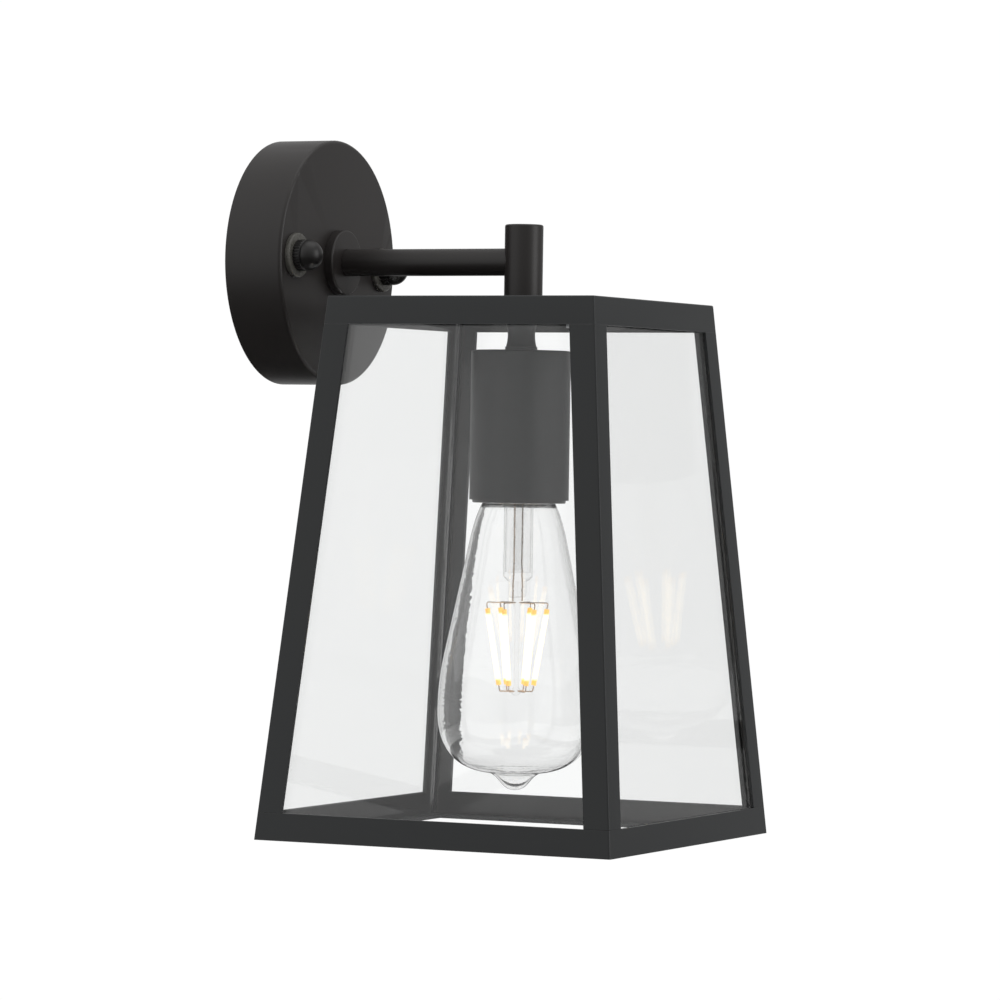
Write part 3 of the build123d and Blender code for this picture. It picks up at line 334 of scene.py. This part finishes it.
# --- Lantern frame ----------------------------------------------------------
# A folded top pan, four leaning angle legs and four mitred bottom angles, all
# 1.2 mm steel, spot welded and powder coated black after assembly.

FOLD_BEVEL = 0.00025
dress("top_cap", cool_black, bevel=FOLD_BEVEL)
for corner in ("front_right", "back_right", "back_left", "front_left"):
    dress("leg_" + corner, cool_black, bevel=FOLD_BEVEL)
for side in ("front", "right", "back", "left"):
    dress("rail_" + side, cool_black, bevel=FOLD_BEVEL)

# --- Glass, seals and clips -------------------------------------------------
# Four tapered panes of 3 mm float glass with ground edges stand on the bottom
# ledge. Black sealant beds them against the flanges, spring clips hold the top.


def let_lamps_through(tree, shader, share=1.0):
    """Shadow rays pass the glass unbent, as its thin walls let them in reality."""
    output = tree.nodes["Material Output"]
    path = place(tree, "ShaderNodeLightPath")
    clear = place(tree, "ShaderNodeBsdfTransparent", {"Color": (share, share, share, 1)})
    mix = place(tree, "ShaderNodeMixShader", {0: path.outputs["Is Shadow Ray"]})
    tree.links.new(shader.outputs[0], mix.inputs[1])
    tree.links.new(clear.outputs[0], mix.inputs[2])
    tree.links.new(mix.outputs[0], output.inputs["Surface"])


pane_glass, tree, shader = start_material("pane_glass", ior=1.5)
detail = use_group(tree, surface, Grain_Size=0.004, Patch_Size=0.05, Edge_Width=0.0004)
shader.inputs["Transmission Weight"].default_value = 1.0
ground_edge = blend_colour(tree, detail["Edge"], (0.985, 0.990, 0.988, 1), (0.80, 0.90, 0.87, 1))
tree.links.new(ground_edge, shader.inputs["Base Color"])
smears = rescale(tree, detail["Patch"], 0.55, 0.75, 0.0, 0.02)
tree.links.new(smears, shader.inputs["Roughness"])
let_lamps_through(tree, shader, 0.92)

sealant = finish("black_sealant", (0.012, 0.012, 0.012), rough=0.5, grain_size=0.0012, grain_depth=0.00006,
                 patch_size=0.01, shade=0.25)
for side in ("front", "right", "back", "left"):
    dress("glass_" + side, pane_glass, bevel=0.0003)
    dress("glass_seal_" + side, sealant)
dress("glass_clips", zinc, bevel=0.0001)

# --- Lampholder -------------------------------------------------------------
# A drawn steel cup hides a moulded phenolic holder: its cap, its screwed skirt,
# a ceramic core with brass terminals and the rolled brass screw shell.

# The shroud's powder coat is given a far darker colour than the frame's same coat: painted shade, offsetting
# the bulb light that falls on it.
shroud_black_painted_shade = finish("shroud_powder_painted_shade", (0.0075, 0.0085, 0.0090), rough=0.44, grain_size=0.0012,
                      grain_depth=0.0000003, patch_size=0.05, shade=0.08, edge_wear_and_highlight_colour=(0.10, 0.10, 0.10),
                      edge_width=0.0006, edge_share=0.5, rough_spread=0.05)
dress("lampholder_shroud", shroud_black_painted_shade, bevel=0.0002)
phenolic = finish("black_phenolic", (0.018, 0.017, 0.016), rough=0.32, grain_size=0.0008, grain_depth=0.00001,
                  patch_size=0.01, shade=0.2, edge_wear_and_highlight_colour=(0.07, 0.07, 0.07), edge_width=0.0003)
for name in ("lampholder_cap", "lampholder_skirt"):
    dress(name, phenolic, bevel=0.0002)
steatite = finish("steatite", (0.82, 0.79, 0.71), rough=0.55, grain_size=0.0003, grain_depth=0.00002,
                  patch_size=0.008, shade=0.05)
dress("lampholder_core", steatite, bevel=0.0003)
for name in ("holder_terminals", "centre_contact"):
    dress(name, brass, bevel=0.0001)
dress("screw_shell", brass)

# --- Bulb cap ---------------------------------------------------------------
# The E27 cap is rolled from thin nickel-plated brass, with a black vitrite
# insulator and a brass contact. A small driver board stands inside it.

nickel = finish("nickel_shell", (0.66, 0.64, 0.60), rough=0.26, grain_size=0.0003, grain_depth=0.000006,
                metallic=1.0, patch_size=0.008, shade=0.12, edge_wear_and_highlight_colour=(0.85, 0.84, 0.80), edge_width=0.0003)
dress("bulb_cap", nickel)
vitrite = finish("vitrite", (0.020, 0.018, 0.022), rough=0.12, grain_size=0.0015, grain_depth=0.00002,
                 patch_size=0.004, shade=0.3)
dress("cap_insulator", vitrite)
dress("cap_contact", brass)
board = finish("driver_parts", (0.03, 0.16, 0.07), rough=0.4, grain_size=0.0006, grain_depth=0.00002,
               patch_size=0.003, shade=0.5)
dress("driver_board", board, bevel=0.0002)

# --- Bulb glass and stem ----------------------------------------------------
# A blown clear envelope, pear shaped, closed at the tip by a small pip. The
# pressed stem carries the exhaust tube, the two leads and a glass rod.

bulb_glass, tree, shader = start_material("bulb_glass", ior=1.5)
detail = use_group(tree, surface, Grain_Size=0.01, Patch_Size=0.02, Edge_Width=0.0002)
shader.inputs["Transmission Weight"].default_value = 1.0
tint = rescale(tree, detail["Patch"], 0.3, 0.7)
tree.links.new(blend_colour(tree, tint, (0.985, 0.985, 0.985, 1), (1, 1, 1, 1)), shader.inputs["Base Color"])
shader.inputs["Roughness"].default_value = 0.0
let_lamps_through(tree, shader, 0.95)
envelope = dress("bulb_glass", bulb_glass)
envelope.data.attributes.remove(envelope.data.attributes["custom_normal"])
envelope.data.shade_smooth()
envelope.modifiers.new("weld", "WELD").merge_threshold = WELD_GAP

# The stem's drawn tube and rod are so slender that only their outlines show. Those outlines are painted: a
# grey surface that grows opaque toward its edges stands in for the glass's refraction and reflection there.
stem_glass, tree, shader = start_material("stem_glass", ior=1.5)
detail = use_group(tree, surface, Grain_Size=0.002, Patch_Size=0.004, Edge_Width=0.0002)
clouded = rescale(tree, detail["Patch"], 0.3, 0.7)
pale_grey = blend_colour(tree, clouded, (0.50, 0.50, 0.50, 1), (0.62, 0.62, 0.61, 1))
tree.links.new(pale_grey, shader.inputs["Base Color"])
shader.inputs["Roughness"].default_value = 0.08
outline = place(tree, "ShaderNodeLayerWeight", {"Blend": 0.35}).outputs["Facing"]
STEM_FACING, STEM_OUTLINE = 0.04, 0.60
tree.links.new(rescale(tree, outline, 0.35, 1.0, STEM_FACING, STEM_OUTLINE), shader.inputs["Alpha"])
dress("bulb_stem", stem_glass)

# --- Filaments, carriers and leads ------------------------------------------
# Six LED rods under yellow silicone and phosphor stand in a cone, welded to
# thin wires that spread from two glass beads on the rod.

copper = finish("copper_wire", (0.70, 0.56, 0.45), rough=0.28, grain_size=0.0002, grain_depth=0.000004,
                metallic=1.0, patch_size=0.004)
dress("filament_carriers", copper)
dress("lead_wires", copper)

filament_low, filament_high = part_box("led_filaments")
FILAMENT_CAP = 0.0018
phosphor, tree, shader = start_material("glowing_phosphor")
detail = use_group(tree, surface, Grain_Size=0.0004, Patch_Size=0.002, Edge_Width=0.0002)
spot = place(tree, "ShaderNodeTexCoord").outputs["Object"]
height = place(tree, "ShaderNodeSeparateXYZ", {0: spot}).outputs["Z"]
near_low = rescale(tree, height, filament_low.z + FILAMENT_CAP, filament_low.z + 1.6 * FILAMENT_CAP)
near_high = rescale(tree, height, filament_high.z - FILAMENT_CAP, filament_high.z - 1.6 * FILAMENT_CAP)
lit = calculate(tree, "MULTIPLY", near_low, near_high)
amber_and_white = blend_colour(tree, lit, (0.40, 0.20, 0.03, 1), (1.0, 0.84, 0.58, 1))
uneven = rescale(tree, detail["Patch"], 0.3, 0.7)
silicone = blend_colour(tree, uneven, (0.95, 0.62, 0.15, 1), (1.0, 0.74, 0.25, 1))
tree.links.new(silicone, shader.inputs["Base Color"])
tree.links.new(amber_and_white, shader.inputs["Emission Color"])
shader.inputs["Emission Strength"].default_value = 1.9
shader.inputs["Roughness"].default_value = 0.35
dress("led_filaments", phosphor)

# --- Floor, light and camera ------------------------------------------------
# A pale studio floor far below the wall-held lantern, a white surround, one
# large soft key from the front and a broad soft light from above.

FLOOR_Z = -0.75
FLOOR_HALF = 2.5
floor_mesh = bpy.data.meshes.new("studio_floor")
corners = [(x * FLOOR_HALF, y * FLOOR_HALF, FLOOR_Z) for x, y in ((-1, -1), (1, -1), (1, 1), (-1, 1))]
floor_mesh.from_pydata(corners, [], [(0, 1, 2, 3)])
floor = bpy.data.objects.new("studio_floor", floor_mesh)
bpy.context.scene.collection.objects.link(floor)
floor_paint, tree, shader = start_material("pale_floor")
speckle = place(tree, "ShaderNodeTexNoise", {"Scale": 3.0, "Detail": 4.0})
pale = blend_colour(tree, speckle.outputs["Fac"], (0.84, 0.84, 0.84, 1), (0.90, 0.90, 0.90, 1))
tree.links.new(pale, shader.inputs["Base Color"])
shader.inputs["Roughness"].default_value = 0.8
shader.inputs["Emission Color"].default_value = (1, 1, 1, 1)
shader.inputs["Emission Strength"].default_value = 0.35
floor_mesh.materials.append(floor_paint)
floor.visible_diffuse = False
floor.visible_glossy = False

# The surround is white where the lens sees it. What the lantern reflects is a soft grey
# room: dark below, lighter on one side, with a pale backdrop behind and a dim front.
GROUND, HORIZON, SKY = 0.06, 0.42, 0.52
BACKDROP_TOWARD = (0.898, 0.439, 0.0)
BRIGHT_SIDE = (-0.898, 0.439, 0.0)
world = bpy.data.worlds.new("studio")
world.use_nodes = True
bpy.context.scene.world = world
tree = world.node_tree
tree.nodes.clear()
direction = place(tree, "ShaderNodeTexCoord").outputs["Generated"]
upward = place(tree, "ShaderNodeSeparateXYZ", {0: direction}).outputs["Z"]
ramp = place(tree, "ShaderNodeValToRGB", {"Fac": rescale(tree, upward, -1.0, 1.0)})
ramp.color_ramp.interpolation = "EASE"
ramp.color_ramp.elements[0].position = 0.25
ramp.color_ramp.elements[0].color = (GROUND, GROUND, GROUND, 1)
ramp.color_ramp.elements[1].position = 0.85
ramp.color_ramp.elements[1].color = (SKY, SKY, SKY, 1)
middle = ramp.color_ramp.elements.new(0.5)
middle.color = (HORIZON, HORIZON, HORIZON, 1)
behind = place(tree, "ShaderNodeVectorMath", {0: direction, 1: BACKDROP_TOWARD}, operation="DOT_PRODUCT")
beside = place(tree, "ShaderNodeVectorMath", {0: direction, 1: BRIGHT_SIDE}, operation="DOT_PRODUCT")
front_share = rescale(tree, behind.outputs["Value"], -0.97, -0.70, 0.55, 1.0)
side_share = rescale(tree, beside.outputs["Value"], -0.6, 0.9, 0.85, 1.75)
share = calculate(tree, "MULTIPLY", front_share, side_share)
share_colour = place(tree, "ShaderNodeCombineXYZ", {0: share, 1: share, 2: share})
room = blend_colour(tree, 1.0, ramp.outputs["Color"], share_colour.outputs[0], "MULTIPLY")
backdrop = rescale(tree, behind.outputs["Value"], 0.80, 0.98)
room = blend_colour(tree, backdrop, room, (0.75, 0.75, 0.75, 1))
path = place(tree, "ShaderNodeLightPath")
bounces = calculate(tree, "ADD", path.outputs["Diffuse Depth"], path.outputs["Glossy Depth"])
seen = calculate(tree, "LESS_THAN", bounces, 0.5)
surround = blend_colour(tree, seen, room, (1.02, 1.02, 1.02, 1))
background = place(tree, "ShaderNodeBackground", {"Color": surround, "Strength": 1.0})
world_output = tree.nodes.new("ShaderNodeOutputWorld")
tree.links.new(background.outputs[0], world_output.inputs["Surface"])


def softbox(name, toward, distance, width, height, watts):
    """A rectangular soft light facing the lantern from a direction."""
    light = bpy.data.lights.new(name, "AREA")
    light.shape = "RECTANGLE"
    light.size = width
    light.size_y = height
    light.energy = watts
    holder = bpy.data.objects.new(name, light)
    aim = Vector(toward).normalized()
    holder.location = lantern_middle + aim * distance
    holder.rotation_euler = aim.to_track_quat("Z", "Y").to_euler()
    holder.visible_camera = False
    holder.visible_transmission = False
    bpy.context.scene.collection.objects.link(holder)


lantern_middle = Vector((0.0, -0.1092, -0.1))
softbox("key_light", (0.14, -1.0, 0.2), 1.6, 0.9, 1.4, 6.5)
softbox("top_light", (0.1, -0.2, 1.0), 1.5, 1.2, 1.2, 3.0)

VIEW_AZIMUTH = math.radians(-64.102)
VIEW_ELEVATION = math.radians(0.584)
VIEW_ROLL = math.radians(0.863)
VIEW_DISTANCE = 1.8966
ASIDE = -0.00794             # the camera stands this far off its aim, to its right and up
ABOVE = 0.00439
LENS = 169.86

cos_a, sin_a = math.cos(VIEW_AZIMUTH), math.sin(VIEW_AZIMUTH)
cos_e, sin_e = math.cos(VIEW_ELEVATION), math.sin(VIEW_ELEVATION)
back = Vector((sin_a * cos_e, -cos_a * cos_e, sin_e))
level_right = Vector((cos_a, sin_a, 0.0))
level_up = back.cross(level_right)
right = level_right * math.cos(VIEW_ROLL) + level_up * math.sin(VIEW_ROLL)
up = level_up * math.cos(VIEW_ROLL) - level_right * math.sin(VIEW_ROLL)

camera_data = bpy.data.cameras.new("camera")
camera_data.sensor_width = 36.0
camera_data.lens = LENS
camera_data.clip_end = 100.0
camera = bpy.data.objects.new("camera", camera_data)
place_at = lantern_middle + back * VIEW_DISTANCE + right * ASIDE + up * ABOVE
camera.matrix_world = Matrix.Translation(place_at) @ Matrix((right, up, back)).transposed().to_4x4()
bpy.context.scene.collection.objects.link(camera)
bpy.context.scene.camera = camera
bpy.context.scene.view_settings.view_transform = "Standard"
